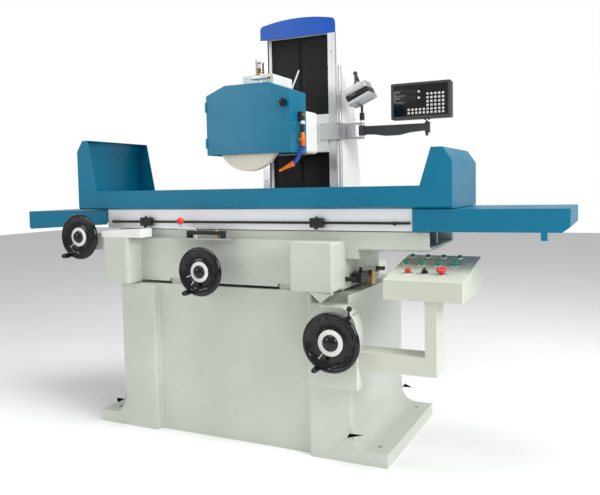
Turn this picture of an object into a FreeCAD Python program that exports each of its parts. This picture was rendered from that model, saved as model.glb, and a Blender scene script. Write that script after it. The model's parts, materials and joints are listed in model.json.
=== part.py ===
"""Saddle-type horizontal-spindle surface grinder, in millimetres.

+X runs along the table, -Y faces the operator and +Z is up. The origin is on the floor, in the
middle of the front bed. The machine rests as it is set for setting-up: table 60 mm right of the
column's centre line, saddle a little to the rear, wheel 96 mm above the magnetic chuck.
"""
import FreeCAD, Part
import math
import os

V = FreeCAD.Vector

# ---- clearances -------------------------------------------------------------------------------
GAP = 0.3            # between parts that move past each other
FIT = 0.05           # radial clearance of a running shaft

# ---- bed --------------------------------------------------------------------------------------
BED_HALF = 622.0     # half the width of the bed's body
BED_FRONT = -374.0
BED_REAR = 374.0
BED_TOP = 733.0
BED_WALL = 25.0
RECESS_Y = -340.0    # the bed's front is set back between the left leg and the right pedestal
RECESS_X = (-412.0, 416.0)
FOOT_REACH = 160.0   # how far a foot stands out from the wall
FOOT_HEIGHT = 58.0
FOOT_FILLET = 72.0
ANCHOR_R = 11.0      # holes for M20 anchor bolts
ANCHOR_X = 718.0
ANCHOR_Y = 290.0
PIER_HALF = 330.0    # the narrower rear of the bed, which carries the column
PIER_REAR = 1010.0

# ---- cross ways and saddle --------------------------------------------------------------------
NUT_Y = (-165.0, -105.0)     # lug on the bed that holds the cross-feed nut
CROSS_WAY_X = 300.0
CROSS_WAY_W = 90.0
CROSS_WAY_TOP = 760.0
SADDLE_X = (-690.0, 569.0)
SADDLE_Y = (-330.0, 165.0)
SADDLE_SKIRT = 746.0
SADDLE_TOP = 958.0
DECK_X = (-690.0, 945.0)
DECK_FRONT = -292.0
DECK_Z = (918.0, 1000.0)
WING_X = (-690.0, -521.0)    # left end block, proud of the apron
WING_FRONT = -430.0
BLOCK_X = (367.0, 569.0)     # right front block, over the pedestal
BLOCK_FRONT = -440.0

# ---- table, splash guard and covers -----------------------------------------------------------
TABLE_X = (-755.0, 878.0)
TABLE_Y = (-300.0, 165.0)
TABLE_Z = (1003.7, 1100.0)
CHUCK_X = (-440.0, 560.0)    # 1000 x 350 mm magnetic chuck
CHUCK_Y = (-248.0, 102.0)
CHUCK_TOP = 1185.0
GUARD_X = (-932.0, 1047.0)
GUARD_Y = (-320.0, 173.0)
GUARD_Z = (1110.0, 1195.0)
SHEET = 3.0                  # thickness of the sheet-metal guards
LEFT_HOOD_TOP = 1462.0
RIGHT_HOOD_TOP = 1352.0
LEFT_COVER_END = -1309.0
RIGHT_COVER_END = 1490.0
RAIL_Y = (-312.0, -302.0)    # trip-dog rail along the table's front
RAIL_Z = (1033.0, 1044.0)
CYLINDER_X = (-690.0, 300.0) # the table's cylinder, which lies in the saddle's channel
CYLINDER_Y = -60.0
CYLINDER_Z = 970.0
ROD_R = 15.0
PISTON_X = -160.0            # piston at mid table, with 500 of travel to its left and 400 to its right

# ---- column and wheel head --------------------------------------------------------------------
COLUMN_FRONT = 450.0
COLUMN_HALF = 233.0
COLUMN_TOP = 2046.0
WAY_INNER = 188.0            # half the width of the channel between the column ways
CHANNEL_FLOOR = 502.0
HEADER_TOP = 2150.0
CARRIAGE_Z = (1391.0, 1600.0)
SPINDLE_Z = 1456.0
WHEEL_R = 175.0              # 350 x 40 x 127 mm grinding wheel
WHEEL_BORE_R = 63.5
WHEEL_Y = (-138.0, -98.0)
GUARD_FRONT = -150.0
GUARD_BACK = 30.0
SHELL = 4.0
SCREW_Y = 620.0              # elevating screw, on the column's centre line

# ---- handwheels -------------------------------------------------------------------------------
VERTICAL_WHEEL = (584.0, -500.0, 552.0)
CROSS_WHEEL = (-88.0, -448.0, 816.0)
TABLE_WHEEL = (-812.0, -448.0, 967.0)
BIG_WHEEL_R = 128.0
SMALL_WHEEL_R = 115.0
SHAFT_R = 12.0

# ---- controls ---------------------------------------------------------------------------------
DESK_X = (790.0, 1114.0)
DESK_Y = (-440.0, -62.0)
DESK_BOTTOM = 736.0
DESK_FRONT_TOP = 816.0
DESK_REAR_TOP = 882.0
BUTTON_PITCH = 70.0
BUTTON_X = 822.0
LAMP_ROW_Y = -108.0
GREEN_ROW_Y = -213.0
FRONT_ROW_Y = -340.0
BUTTON_R = 13.0
STEM_R = 8.0
ARM_Y = (-430.0, -310.0)
GEARBOX = (566.0, 594.0)     # centre of the feed gearbox's rounded top, as (x, z)
GEARBOX_R = 112.0


# ---- shape helpers ----------------------------------------------------------------------------
def box(x, y, z):
    """A block between three (low, high) pairs."""
    return Part.makeBox(x[1] - x[0], y[1] - y[0], z[1] - z[0], V(x[0], y[0], z[0]))


def rod(axis, start, radius, length):
    """A cylinder that starts at a point and runs along +X, +Y or +Z."""
    direction = {"x": V(1, 0, 0), "y": V(0, 1, 0), "z": V(0, 0, 1)}[axis]
    return Part.makeCylinder(radius, length, V(*start), direction)


def tube(axis, start, outer, inner, length):
    return rod(axis, start, outer, length).cut(rod(axis, start, inner, length))


def face_of(points):
    return Part.Face(Part.makePolygon([V(*p) for p in points + points[:1]]))


def plate_xz(outline, y):
    """An outline of (x, z) points, drawn out between two y values."""
    return face_of([(px, y[0], pz) for px, pz in outline]).extrude(V(0, y[1] - y[0], 0))


def plate_yz(outline, x):
    """An outline of (y, z) points, drawn out between two x values."""
    return face_of([(x[0], py, pz) for py, pz in outline]).extrude(V(x[1] - x[0], 0, 0))


def spun(profile, centre):
    """A profile of (radius, reach) points turned about the Y axis at a centre, reach towards -Y."""
    turned = face_of([(r, -reach, 0) for r, reach in profile])
    turned = turned.revolve(V(0, 0, 0), V(0, 1, 0), 360)
    turned.translate(V(*centre))
    return turned


def ball(centre, radius):
    return Part.makeSphere(radius, V(*centre))


def bar(start, end, radius):
    """A round bar between two points."""
    run = V(*end).sub(V(*start))
    return Part.makeCylinder(radius, run.Length, V(*start), run)


def joined(*shapes):
    whole = shapes[0].fuse(list(shapes[1:])) if len(shapes) > 1 else shapes[0]
    return whole.removeSplitter()


def group(*shapes):
    return Part.makeCompound(list(shapes))


def round_edges(shape, radius, chosen):
    """Fillet the straight edges for which chosen(start, end) is true."""
    edges = [e for e in shape.Edges if len(e.Vertexes) == 2
             and chosen(e.Vertexes[0].Point, e.Vertexes[1].Point)]
    return shape.makeFillet(radius, edges)


def upright(low, high):
    return abs(low.x - high.x) < 1e-6 and abs(low.y - high.y) < 1e-6


def along_y(low, high):
    return abs(low.x - high.x) < 1e-6 and abs(low.z - high.z) < 1e-6


def screw_head(x, y, z, radius=6.0):
    """A cap-screw head that stands 4 mm proud, towards the operator."""
    return rod("y", (x, y - 4.0, z), radius, 4.0)


# ---- bed --------------------------------------------------------------------------------------
def bed_foot(side):
    """One side foot, with the hollow fillet that sweeps up into the bed's wall."""
    wall = side * BED_HALF
    toe = side * (BED_HALF + FOOT_REACH)
    bend = side * (BED_HALF + FOOT_FILLET)
    top = FOOT_HEIGHT + FOOT_FILLET
    arc_mid = V(wall + side * FOOT_FILLET * (1 - math.sqrt(0.5)), BED_FRONT,
                FOOT_HEIGHT + FOOT_FILLET * (1 - math.sqrt(0.5)))
    lines = [(V(bend, BED_FRONT, FOOT_HEIGHT), V(toe, BED_FRONT, FOOT_HEIGHT)),
             (V(toe, BED_FRONT, FOOT_HEIGHT), V(toe, BED_FRONT, 0)),
             (V(toe, BED_FRONT, 0), V(wall - side * 20, BED_FRONT, 0)),
             (V(wall - side * 20, BED_FRONT, 0), V(wall - side * 20, BED_FRONT, top)),
             (V(wall - side * 20, BED_FRONT, top), V(wall, BED_FRONT, top))]
    arc = Part.Arc(V(wall, BED_FRONT, top), arc_mid, V(bend, BED_FRONT, FOOT_HEIGHT)).toShape()
    edges = [arc] + [Part.makeLine(a, b) for a, b in lines]
    return Part.Face(Part.Wire(edges)).extrude(V(0, BED_REAR - BED_FRONT, 0))


def base_casting():
    """Hollow bed with its cross ways, the pier for the column and the cross-feed nut's lug."""
    front = box((-BED_HALF, BED_HALF), (BED_FRONT, BED_REAR), (0, BED_TOP))
    front = front.cut(box(RECESS_X, (BED_FRONT - 1, RECESS_Y), (-1, BED_TOP + 1)))
    front = round_edges(front, 16.0, upright)
    pier = box((-PIER_HALF, PIER_HALF), (BED_REAR - 20, PIER_REAR), (0, BED_TOP))
    pier_foot = box((-PIER_HALF - 60, PIER_HALF + 60), (BED_REAR - 20, PIER_REAR + 60),
                    (0, FOOT_HEIGHT))
    body = joined(front, bed_foot(-1), bed_foot(1), pier, pier_foot)
    inside = BED_HALF - BED_WALL
    lid = BED_TOP - BED_WALL
    body = body.cut(box((-inside, inside), (RECESS_Y + BED_WALL, BED_REAR - BED_WALL), (-1, lid)))
    body = body.cut(box((-PIER_HALF + BED_WALL, PIER_HALF - BED_WALL),
                        (BED_REAR - BED_WALL - 1, PIER_REAR - BED_WALL), (-1, lid)))
    leg = (BED_FRONT + BED_WALL, RECESS_Y + BED_WALL + 1)
    body = body.cut(box((-inside, RECESS_X[0] - BED_WALL), leg, (-1, lid)))
    body = body.cut(box((RECESS_X[1] + BED_WALL, inside), leg, (-1, lid)))
    body = body.cut(box((440, 610), (BED_FRONT - 1, -290), (690, BED_TOP + 1)))
    body = body.fuse(box((436, 614), (-294, -286), (660, BED_TOP)))
    body = body.fuse(box((436, 614), (BED_FRONT + 4, -286), (672, 690)))
    x, z = CROSS_WHEEL[0], CROSS_WHEEL[2]
    lug = box((x - 40, x + 40), NUT_Y, (BED_TOP - 10, z + 34))
    body = body.fuse(lug.cut(rod("y", (x, NUT_Y[0] - 1, z), SHAFT_R + GAP, 62)))
    for side in (-CROSS_WAY_X, CROSS_WAY_X):
        body = body.fuse(box((side - CROSS_WAY_W / 2, side + CROSS_WAY_W / 2), (-320, 420),
                             (BED_TOP - 5, CROSS_WAY_TOP)))
    for x in (-ANCHOR_X, ANCHOR_X):
        for y in (-ANCHOR_Y, ANCHOR_Y):
            body = body.cut(rod("z", (x, y, -1), ANCHOR_R, FOOT_HEIGHT + 2))
    shaft = rod("y", (VERTICAL_WHEEL[0], BED_FRONT - 1, VERTICAL_WHEEL[2]), SHAFT_R + 8, 60)
    return body.cut(shaft).removeSplitter()


# ---- saddle -----------------------------------------------------------------------------------
def saddle_casting():
    body = box(SADDLE_X, SADDLE_Y, (SADDLE_SKIRT, SADDLE_TOP))
    wing = box(WING_X, (WING_FRONT, SADDLE_Y[0] + 5), (738, 966))
    wing = round_edges(wing, 22.0, lambda a, b: upright(a, b) and a.y < WING_FRONT + 1)
    block = box(BLOCK_X, (BLOCK_FRONT, SADDLE_Y[0] + 5), (748, 960))
    block = round_edges(block, 12.0, lambda a, b: along_y(a, b) or upright(a, b) and a.y < -439)
    chin = plate_xz([(440, 760), (470, 738), (511, 701), (556, 738), (BLOCK_X[1] - 3, 738),
                     (BLOCK_X[1] - 3, 760)], (BLOCK_FRONT + 1, BLOCK_FRONT + 15))
    deck = box(DECK_X, (DECK_FRONT, SADDLE_Y[1]), DECK_Z)
    deck = round_edges(deck, 10.0, lambda a, b: a.z < DECK_Z[0] + 1 and b.z < DECK_Z[0] + 1
                       and abs(a.y - b.y) < 1e-6 and a.x > 900 or along_y(a, b) and a.x > 900
                       and a.z < DECK_Z[0] + 1)
    rim = box((SADDLE_X[0], SADDLE_X[1] + 60), (DECK_FRONT, SADDLE_Y[1]), (880, 930))
    body = joined(body, wing, block, chin, deck, rim)
    body = body.cut(box((SADDLE_X[0] + 20, SADDLE_X[1] - 20), (SADDLE_Y[0] + 20, SADDLE_Y[1] - 20),
                        (700, CROSS_WAY_TOP + GAP)))
    cavity = box((SADDLE_X[0] + 22, SADDLE_X[1] - 22), (SADDLE_Y[0] + 22, SADDLE_Y[1] - 20),
                 (790, 890))
    body = body.cut(cavity)
    body = body.cut(box((WING_X[0] + 20, WING_X[1] - 20), (WING_FRONT + 20, SADDLE_Y[0] + 23),
                        (760, 940)))
    body = body.cut(box((BLOCK_X[0] + 18, BLOCK_X[1] - 18), (BLOCK_FRONT + 18, SADDLE_Y[0] + 23),
                        (772, 936)))
    body = body.cut(box((SADDLE_X[1] + 30, DECK_X[1] + 1), (DECK_FRONT + 14, SADDLE_Y[1] - 30),
                        (936, 986)))
    body = body.cut(box((DECK_X[1] - 60, DECK_X[1] + 1), (DECK_FRONT + 14, 70), (936, 1001)))
    body = body.cut(box((DECK_X[0] - 1, DECK_X[1] + 1), (-106, -14), (936, DECK_Z[1] + 1)))
    body = body.cut(box((DECK_X[0] - 1, DECK_X[1] + 1), (50, 92), (982, DECK_Z[1] + 1)))
    lug_slot = box((CROSS_WHEEL[0] - 46, CROSS_WHEEL[0] + 46), (-300, SADDLE_Y[1] - 24),
                   (SADDLE_SKIRT, CROSS_WHEEL[2] + 40))
    body = body.cut(lug_slot)
    for x in (-CROSS_WAY_X, CROSS_WAY_X):
        half = CROSS_WAY_W / 2 + 2
        body = body.cut(box((x - half, x + half), (SADDLE_Y[0] - 1, SADDLE_Y[1] + 1),
                            (SADDLE_SKIRT - 1, CROSS_WAY_TOP + GAP)))
    bore = rod("y", (CROSS_WHEEL[0], SADDLE_Y[0] - 1, CROSS_WHEEL[2]), SHAFT_R + FIT, 40)
    return body.cut(bore).removeSplitter()


def saddle_end_cover():
    """Sloping cover over the left end of the saddle, in front of the table."""
    outline = [(-690, 966), (-445, 966), (-445, 1008), (-690, 996)]
    cap = plate_xz(outline, (WING_FRONT + 4, -336))
    return cap.cut(box((-680, -455), (WING_FRONT + 10, -342), (966, 988)))


def reversing_valve():
    """Oil valve that trips the table, with its mounting plate and two posts."""
    plate = box((-290, 44), (-388, -334), (958, 966))
    body = box((-210, -10), (-376, -340), (982, 1000))
    stands = [box((x, x + 14), (-376, -340), (966, 982)) for x in (-210, -24)]
    idler = rod("z", (-47, -362, 966), 9, 40)
    return joined(plate, body, *stands, idler).cut(rod("z", (-166, -362, 960), 8 + FIT, 48))


def traverse_gearbox():
    """Reduction gearbox for the table handwheel, bolted to the saddle's left end."""
    case = box((-858, SADDLE_X[0]), (-410, -330), (900, 986))
    case = round_edges(case, 18.0, lambda a, b: along_y(a, b) and a.x < -800)
    x, y, z = TABLE_WHEEL
    return case.cut(rod("y", (x, -412, z), SHAFT_R + FIT, 62))


def travel_stop_rail():
    """Rod with adjustable stops along the saddle's right side, and the switch that they trip."""
    x = SADDLE_X[1] + 34
    z = 790.0
    rail = rod("y", (x, -300, z), 6, 440)
    hangers = [box((SADDLE_X[1], x + 9), (y, y + 16), (z - 9, z + 9)) for y in (-296, 118)]
    stop = box((x - 22, x + 24), (-246, -150), (z - 22, z + 22))
    stop = stop.fuse(rod("z", (x, -190, z + 20), 7, 22))
    switch = box((x - 14, x + 22), (-96, -52), (z - 50, z + 14))
    return joined(rail, *hangers, stop, switch)


def table_cylinder():
    """Hydraulic cylinder in the saddle that drives the table, with its supply pipe."""
    start, end = CYLINDER_X
    shell = tube("x", (start + 16, CYLINDER_Y, CYLINDER_Z), 30, 22, end - start - 32)
    cap = rod("x", (start, CYLINDER_Y, CYLINDER_Z), 33.5, 16)
    gland = tube("x", (end - 16, CYLINDER_Y, CYLINDER_Z), 33.5, ROD_R + GAP, 16)
    port = box((end - 16, end), (-105, -85), (938, 956))
    pipe = rod("x", (end, -97, 946), 7, 900 - end)
    union = box((900, 930), (-105, -89), (938, 994))
    return joined(shell, cap, gland, port.cut(rod("x", (end - 17, CYLINDER_Y, CYLINDER_Z), 33, 18)),
                  pipe, union)


# ---- table ------------------------------------------------------------------------------------
def table_casting():
    body = box(TABLE_X, TABLE_Y, TABLE_Z)
    pocket = box((TABLE_X[0] + 40, TABLE_X[1] - 40), (-10, 44), (TABLE_Z[0] - 1, 1070))
    body = body.cut(pocket)
    body = body.cut(box((TABLE_X[0] + 40, TABLE_X[1] - 40), (-262, -120),
                        (TABLE_Z[0] + 30, 1072)))
    for y in (-150, 4):
        body = body.cut(box((TABLE_X[0] - 1, TABLE_X[1] + 1), (y - 7, y + 7), (1086, 1101)))
        body = body.cut(box((TABLE_X[0] - 1, TABLE_X[1] + 1), (y - 12, y + 12), (1076, 1087)))
    return body.removeSplitter()


def magnetic_chuck():
    body = box(CHUCK_X, CHUCK_Y, (TABLE_Z[1], CHUCK_TOP))
    ends = [box((x, x + 26), CHUCK_Y, (TABLE_Z[1], 1118)) for x in (CHUCK_X[0] - 26, CHUCK_X[1])]
    return joined(body, *ends)


def trough_front():
    """Low front wall of the trough, with its lip turned in under the table's edge."""
    outer, inner = GUARD_Y[0], TABLE_Y[0] - 8
    return plate_yz([(outer, GUARD_Z[0]), (inner, TABLE_Z[1]), (inner + 4, TABLE_Z[1] + SHEET),
                     (outer + SHEET, GUARD_Z[0] + 2), (outer + SHEET, GUARD_Z[1]),
                     (outer, GUARD_Z[1])], GUARD_X)


def splash_panels():
    """Trough round the table: floor, low front and rear walls and the turned-in lip below them."""
    floor_sheet = box(GUARD_X, (TABLE_Y[0] - 8, TABLE_Y[1] + 3), (TABLE_Z[1], TABLE_Z[1] + SHEET))
    floor_sheet = floor_sheet.cut(box((CHUCK_X[0] - 30, CHUCK_X[1] + 30),
                                      (CHUCK_Y[0] - 4, CHUCK_Y[1] + 4), (1090, 1110)))
    rear = box(GUARD_X, (GUARD_Y[1] - SHEET, GUARD_Y[1]), (TABLE_Z[1], GUARD_Z[1]))
    rear = rear.fuse(box(GUARD_X, (TABLE_Y[1], GUARD_Y[1]), (TABLE_Z[1], TABLE_Z[1] + SHEET)))
    return joined(floor_sheet, trough_front(), rear)


def hood_shell(end, inner_foot, inner_head, top):
    """A raised end of the splash guard: end wall, cheeks, chamfer and a short roof."""
    side = 1 if end > 0 else -1
    shoulder = (end, top - 56)
    ridge = end - side * 38
    cheek = [(end, GUARD_Z[1]), shoulder, (ridge, top), (inner_head, top),
             (inner_foot, GUARD_Z[1])]
    front = plate_xz(cheek, (GUARD_Y[0], GUARD_Y[0] + SHEET))
    rear = plate_xz(cheek, (GUARD_Y[1] - SHEET, GUARD_Y[1]))
    t = side * SHEET
    wrap = [(end, TABLE_Z[1] + SHEET), shoulder, (ridge, top), (inner_head, top),
            (inner_head, top - SHEET), (ridge - t * 0.42, top - SHEET),
            (end - t, shoulder[1] - 1.3), (end - t, TABLE_Z[1] + SHEET)]
    skin = plate_xz(wrap, (GUARD_Y[0] + SHEET, GUARD_Y[1] - SHEET))
    return joined(front, skin, rear).cut(trough_front())


def splash_hood_left():
    return hood_shell(GUARD_X[0], -808.0, -858.0, LEFT_HOOD_TOP)


def splash_hood_right():
    return hood_shell(GUARD_X[1], 912.0, 960.0, RIGHT_HOOD_TOP)


def channel_cover(outline, inner, x):
    """A sheet cover that is open below: an (x, z) front outline, and a hollow between skirts."""
    y = (-310.0, 173.0)
    body = plate_xz(outline, y)
    return body.cut(box(x, (y[0] + SHEET, y[1] - SHEET), inner))


def way_cover_left():
    end = LEFT_COVER_END
    outline = [(TABLE_X[0], 1022), (TABLE_X[0], 1096), (end, 1091), (end, 1002), (end + 12, 994)]
    return channel_cover(outline, (980, 1088), (end + SHEET, TABLE_X[0] + 1))


def way_cover_right():
    end = RIGHT_COVER_END
    outline = [(TABLE_X[1], 1003), (end - 30, 1006), (end, 1028), (end, 1099), (TABLE_X[1], 1097)]
    cover = channel_cover(outline, (990, 1094), (TABLE_X[1] - 1, end - SHEET))
    return cover.fuse(box((1384, 1408), (-310, -297), (974, 1020)))


def dog_rail():
    """Bar along the table's front that carries the trip dogs, its standoffs and an end stop."""
    rail = box((-718, 868), RAIL_Y, RAIL_Z)
    feet = [box((x, x + 16), (RAIL_Y[1], TABLE_Y[0]), RAIL_Z) for x in (-716, 60, 850)]
    stop = rod("y", (805, RAIL_Y[0] - 10, 1038), 9, 10)
    return joined(rail, *feet, stop)


def table_drive():
    """Piston and rod with the bracket that pulls the table, and the rack for hand traverse."""
    reach = TABLE_X[1] - 8
    piston = rod("x", (PISTON_X, CYLINDER_Y, CYLINDER_Z), 22 - GAP, 30)
    stem = rod("x", (PISTON_X, CYLINDER_Y, CYLINDER_Z), ROD_R, reach - PISTON_X)
    bracket = box((TABLE_X[1] - 24, TABLE_X[1] - 2), (-84, -36), (950, TABLE_Z[0]))
    rack = box((-600, 720), (62, 80), (986, TABLE_Z[0]))
    return group(joined(piston, stem, bracket), rack)


def trip_dog(x):
    """A dog clamped on the rail: a block with a slot that fits round the bar."""
    block = box((x - 30, x + 30), (-330, RAIL_Y[1] + 0.8), (1018, 1060))
    slot = box((x - 31, x + 31), (RAIL_Y[0] - GAP, RAIL_Y[1] + 1), (RAIL_Z[0] - GAP, RAIL_Z[1] + GAP))
    toe = box((x - 8, x + 8), (-330, -322), (1010, 1018))
    clamp = rod("z", (x, -320, 1060), 6, 7)
    return joined(block.cut(slot), toe, clamp)


def reversing_lever():
    post = rod("z", (-166, -362, 966), 8, 56)
    blade = box((-262, -158), (-372, -352), (1006, 1012))
    ball_stem = rod("z", (-253, -362, 1010), 4, 26)
    knob = ball((-253, -362, 1046), 17)
    horn = box((-176, -90), (-368, -356), (1012, 1018))
    return joined(post, blade, ball_stem, knob, horn)


# ---- column -----------------------------------------------------------------------------------
def column_casting():
    """Hollow column whose back slopes; the front is a channel between the two ways."""
    side = [(COLUMN_FRONT + 18, BED_TOP), (COLUMN_FRONT + 18, HEADER_TOP - 32), (650, 2096),
            (700, 1870), (805, 1340), (930, BED_TOP)]
    body = plate_yz(side, (-COLUMN_HALF, COLUMN_HALF))
    core = [(CHANNEL_FLOOR + 22, BED_TOP - 1), (CHANNEL_FLOOR + 22, 2060), (628, 2060), (676, 1866),
            (780, 1336), (902, BED_TOP - 1)]
    body = body.cut(plate_yz(core, (-COLUMN_HALF + 22, COLUMN_HALF - 22)))
    body = body.cut(box((-WAY_INNER, WAY_INNER), (COLUMN_FRONT, CHANNEL_FLOOR), (BED_TOP, 2052)))
    body = body.cut(box((-60, 60), (CHANNEL_FLOOR - 1, CHANNEL_FLOOR + 30), (900, 2020)))
    foot = box((-COLUMN_HALF - 44, COLUMN_HALF + 44), (COLUMN_FRONT + 18, 960), (BED_TOP, 773))
    foot = foot.cut(box((-COLUMN_HALF, COLUMN_HALF), (400, 930), (700, 800)))
    return body.fuse(foot).removeSplitter()


def column_ways():
    strips = []
    for side in (-1, 1):
        x = sorted((side * WAY_INNER, side * COLUMN_HALF))
        strips.append(box(x, (COLUMN_FRONT, COLUMN_FRONT + 18), (900, COLUMN_TOP)))
        centre = side * (WAY_INNER + COLUMN_HALF) / 2
        for z in range(1000, 2000, 235):
            strips[-1] = strips[-1].cut(rod("y", (centre, COLUMN_FRONT - 1, z), 7, 6))
    return group(*strips)


def header_plate():
    """Curved-top plate across the head of the column, left blank, with its two screws."""
    low, high = COLUMN_TOP, HEADER_TOP
    shoulder = high - 34
    half = COLUMN_HALF
    top = Part.Arc(V(-half + 22, 0, shoulder + 12), V(0, 0, high), V(half - 22, 0, shoulder + 12))
    left = Part.Arc(V(-half, 0, shoulder - 14), V(-half + 6, 0, shoulder + 4),
                    V(-half + 22, 0, shoulder + 12))
    right = Part.Arc(V(half - 22, 0, shoulder + 12), V(half - 6, 0, shoulder + 4),
                     V(half, 0, shoulder - 14))
    edges = [left.toShape(), top.toShape(), right.toShape(),
             Part.makeLine(V(half, 0, shoulder - 14), V(half, 0, low)),
             Part.makeLine(V(half, 0, low), V(-half, 0, low)),
             Part.makeLine(V(-half, 0, low), V(-half, 0, shoulder - 14))]
    plate = Part.Face(Part.Wire(edges)).extrude(V(0, 6, 0))
    plate.translate(V(0, COLUMN_FRONT - 2, 0))
    back = box((-half + 4, half - 4), (COLUMN_FRONT + 4, COLUMN_FRONT + 18), (low + 6, shoulder - 20))
    screws = [rod("y", (x, COLUMN_FRONT - 5, low + 44), 5, 4) for x in (-half + 12, half - 12)]
    return joined(plate, back, *screws)


def column_shield():
    """Two black sheets behind the carriage; the elevating arm passes the slot between them."""
    sheets = []
    for side in (-1, 1):
        x = sorted((side * 11, side * (WAY_INNER - 1)))
        sheets.append(box(x, (CHANNEL_FLOOR - 3, CHANNEL_FLOOR), (760, 2050)))
    return group(*sheets)


def height_scale():
    """Linear scale in its aluminium case, down the column's right side."""
    case = box((COLUMN_HALF, COLUMN_HALF + 16), (476, 500), (1140, 1872))
    return round_edges(case, 4.0, lambda a, b: upright(a, b) and a.x > COLUMN_HALF + 1)


def elevating_screw():
    """Screw that raises the head, with its thrust collar, standing in the column."""
    screw = rod("z", (0, SCREW_Y, 830), 16, 1150)
    collar = rod("z", (0, SCREW_Y, 800), 34, 30)
    return joined(screw, collar, rod("z", (0, SCREW_Y, BED_TOP + 3), 20, 68))


# ---- wheel head -------------------------------------------------------------------------------
def head_carriage():
    """Slide between the column ways, with the arm and nut that ride the elevating screw."""
    plate = box((-WAY_INNER + GAP, WAY_INNER - GAP), (432, CHANNEL_FLOOR - 4), CARRIAGE_Z)
    arm = box((-10, 10), (CHANNEL_FLOOR - 10, SCREW_Y - 20), (1440, 1550))
    nut = rod("z", (0, SCREW_Y, 1440), 34, 110)
    whole = joined(plate, arm, nut)
    return whole.cut(rod("z", (0, SCREW_Y, 1430), 16 + GAP, 130))


def head_casting():
    """Box casting that carries the spindle bearings, with the raised cover on top."""
    body = box((-125, 125), (GUARD_BACK + 6, 432), (1380, 1610))
    body = round_edges(body, 18.0, along_y)
    cover = box((-120, 60), (GUARD_BACK + 10, 256), (1600, 1778))
    cover = round_edges(cover, 8.0, along_y)
    body = joined(body, cover)
    body = body.cut(box((-105, 105), (100, 410), (1396, 1592)))
    body = body.cut(box((-108, 48), (60, 244), (1612, 1766)))
    body = body.fuse(bar((112, 60, 1606), (190, 70, 1786), 4))
    return body.cut(rod("y", (0, 20, SPINDLE_Z), 40 + FIT, 100))


def spindle_motor():
    """Stator of the built-in motor, round the rear of the spindle, with its rear bearing."""
    case = tube("y", (0, 170, SPINDLE_Z), 58, 34, 200)
    bearing = tube("y", (0, 386, SPINDLE_Z), 50, 20 + FIT, 24)
    seat = box((-50, 50), (170, 410), (1396, 1402))
    return group(joined(case, seat), bearing)


OILER = (16.0, -20.0)        # axis of the sight oiler on the guard's top
GUARD_OUTLINE = [(-227, 1365), (-227, 1662), (-118, 1706), (129, 1706), (241, 1662), (241, 1365)]


def offset_outline(inset):
    """The wheel guard's outline drawn in by a sheet's thickness, and open at the bottom."""
    return [(-227 + inset, 1350), (-227 + inset, 1662 - inset * 0.7),
            (-118 + inset * 0.2, 1706 - inset), (129 - inset * 0.2, 1706 - inset),
            (241 - inset, 1662 - inset * 0.7), (241 - inset, 1350)]


def wheel_guard():
    """Steel box round the wheel, open below and in front, where the door closes it."""
    shell = plate_xz(GUARD_OUTLINE, (GUARD_FRONT + 4, GUARD_BACK + 6))
    shell = shell.cut(plate_xz(offset_outline(SHELL), (GUARD_FRONT, GUARD_BACK)))
    shell = shell.cut(rod("z", (*OILER, 1690), 12, 30))
    return shell.cut(rod("y", (0, 0, SPINDLE_Z), 42, 60))


def guard_door():
    """Front plate of the wheel guard, hinged on its left edge."""
    door = plate_xz(GUARD_OUTLINE, (GUARD_FRONT, GUARD_FRONT + 3.7))
    hinge = [rod("z", (-227, GUARD_FRONT - 4, z), 4.5, 50) for z in (1400, 1580)]
    door = door.cut(rod("y", (213, -160, 1600), 6 + GAP, 20))
    return joined(door, *hinge)


def guard_knob():
    """Five-lobed knob whose screw holds the door shut."""
    stud = rod("y", (213, GUARD_FRONT - 8, 1600), 6, 11)
    hub = rod("y", (213, GUARD_FRONT - 24, 1600), 12, 22)
    lobes = []
    for i in range(5):
        angle = math.radians(90 + 72 * i)
        lobes.append(rod("y", (213 + 12 * math.cos(angle), GUARD_FRONT - 22,
                               1600 + 12 * math.sin(angle)), 7.5, 16))
    return joined(stud, hub, *lobes)


def sight_oiler():
    """Glass drip oiler on the guard's top, with its cap and brass fitting."""
    x, y = OILER
    fitting = box((x - 46, x + 46), (y - 24, y + 22), (1742, 1764))
    fitting = fitting.fuse([rod("z", (x, y, 1702), 12, 42), rod("z", (x, y, 1760), 25, 8),
                            rod("x", (x + 44, y, 1753), 8, 14)])
    glass = tube("z", (x, y, 1768), 22, 18, 58)
    cap = rod("z", (x, y, 1826), 24, 18).fuse(rod("z", (x, y, 1842), 8, 12))
    stem = rod("z", (x, y, 1764), 4, 64)
    return group(joined(fitting, stem, cap), glass)


HOSE_JOINTS = [(258, -45, 1395), (254, -60, 1367), (244, -76, 1340), (230, -88, 1315)]


def coolant_hose():
    """Shut-off valve on the guard's side, rigid drop and ball-jointed segments."""
    clamp = box((241, 262), (-64, -26), (1520, 1566))
    clamp = clamp.fuse(rod("x", (262, -45, 1548), 9, 12))
    x, y, z = HOSE_JOINTS[0]
    nut = rod("z", (x, y, z + 109), 13, 16)
    drop = rod("z", (x, y, z + 69), 9, 40)
    valve = rod("z", (x, y, z + 3), 14, 66)
    pieces = [clamp, nut, drop, valve]
    for start, end in zip(HOSE_JOINTS, HOSE_JOINTS[1:]):
        pieces.append(ball(start, 11))
        pieces.append(bar(start, end, 8))
    pieces.append(ball(HOSE_JOINTS[-1], 11))
    return joined(*pieces)


def coolant_nozzle():
    """Tapered outlet that swivels on the last ball of the coolant line."""
    x, y, z = HOSE_JOINTS[-1]
    tip = V(160, -112, 1278)
    run = tip.sub(V(x, y, z))
    cone = Part.makeCone(14, 5, run.Length - 2, V(x, y, z).add(run * 0.03), run)
    return cone.cut(ball(HOSE_JOINTS[-1], 11 + GAP))


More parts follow.
